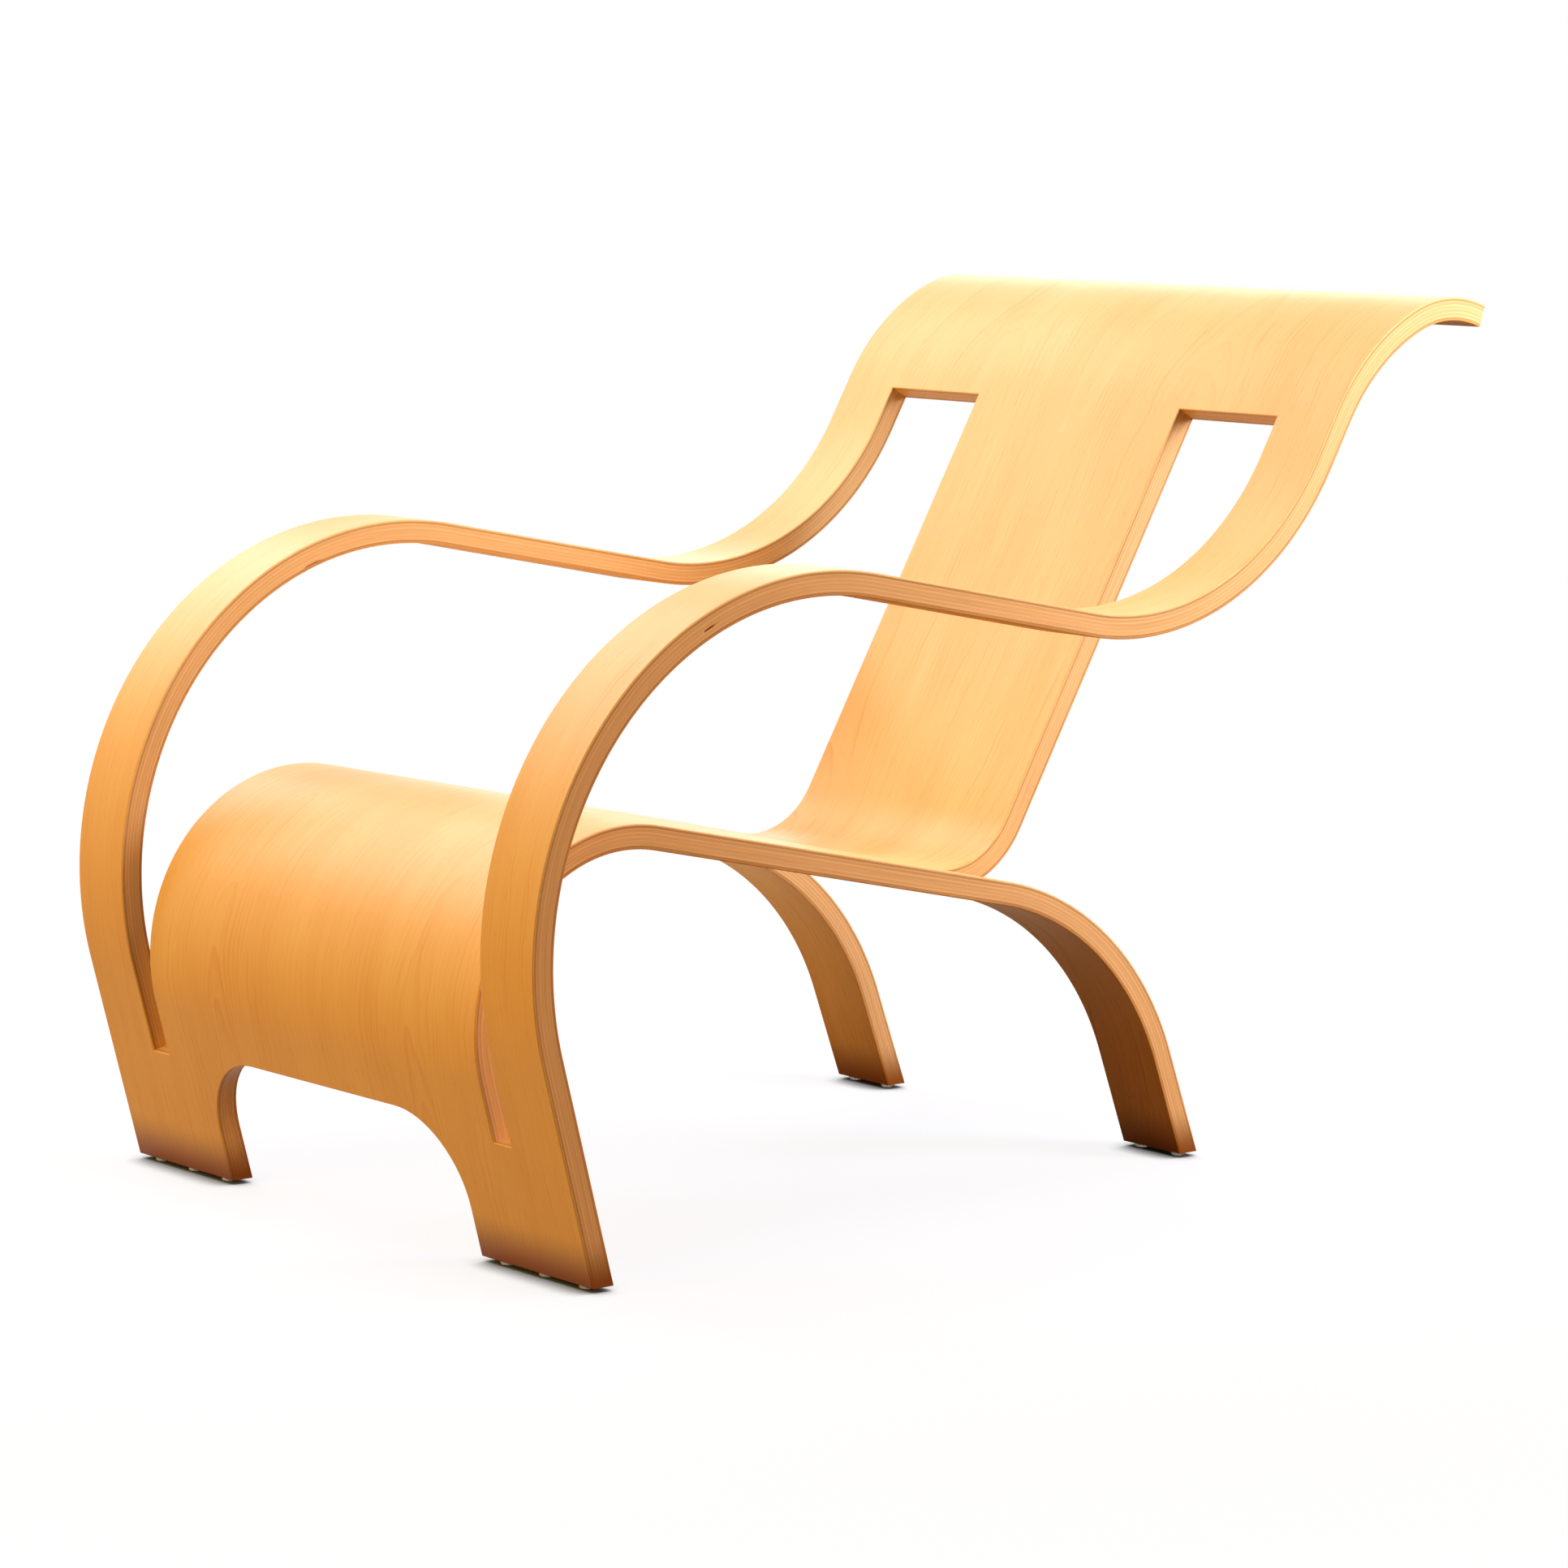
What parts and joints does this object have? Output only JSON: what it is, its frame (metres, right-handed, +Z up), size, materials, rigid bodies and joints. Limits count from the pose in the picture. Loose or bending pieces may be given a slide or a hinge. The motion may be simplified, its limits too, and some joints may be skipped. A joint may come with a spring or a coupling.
{
  "type": "lounge chair",
  "caption": "Lounge chair bent from one slotted sheet of moulded plywood: arms, seat, back, headrest and legs are strips of the same blank, standing on nail-on glides.",
  "frame": {"origin": "on the floor, under the middle of the chair's box", "axes": "+X to the sitter's left, +Y to the rear of the chair, +Z up"},
  "size_m": [0.61, 1.0023, 0.7206],
  "materials": {
    "birch_face": "clear satin lacquer over long-grain birch veneer",
    "birch_long_grain": "lacquered edge of a long-grain veneer",
    "birch_cross_grain": "lacquered edge of a cross-grain veneer",
    "glide_nylon": "moulded natural nylon",
    "nail_steel": "bright drawn wire"
  },
  "bodies": {
    "root": {"show_face_veneer": "birch_face", "cross_veneer_02": "birch_cross_grain", "long_veneer_03": "birch_long_grain", "cross_veneer_04": "birch_cross_grain", "long_veneer_05": "birch_long_grain", "cross_veneer_06": "birch_cross_grain", "long_veneer_07": "birch_long_grain", "cross_veneer_08": "birch_cross_grain", "long_veneer_09": "birch_long_grain", "cross_veneer_10": "birch_cross_grain", "long_veneer_11": "birch_long_grain", "cross_veneer_12": "birch_cross_grain", "under_face_veneer": "birch_face", "front_left_inner_glide": "glide_nylon", "front_left_middle_glide": "glide_nylon", "front_left_outer_glide": "glide_nylon", "front_right_inner_glide": "glide_nylon", "front_right_middle_glide": "glide_nylon", "front_right_outer_glide": "glide_nylon", "rear_left_inner_glide": "glide_nylon", "rear_left_outer_glide": "glide_nylon", "rear_right_inner_glide": "glide_nylon", "rear_right_outer_glide": "glide_nylon", "front_left_inner_nail": "nail_steel", "front_left_middle_nail": "nail_steel", "front_left_outer_nail": "nail_steel", "front_right_inner_nail": "nail_steel", "front_right_middle_nail": "nail_steel", "front_right_outer_nail": "nail_steel", "rear_left_inner_nail": "nail_steel", "rear_left_outer_nail": "nail_steel", "rear_right_inner_nail": "nail_steel", "rear_right_outer_nail": "nail_steel"}
  },
  "joints": []
}
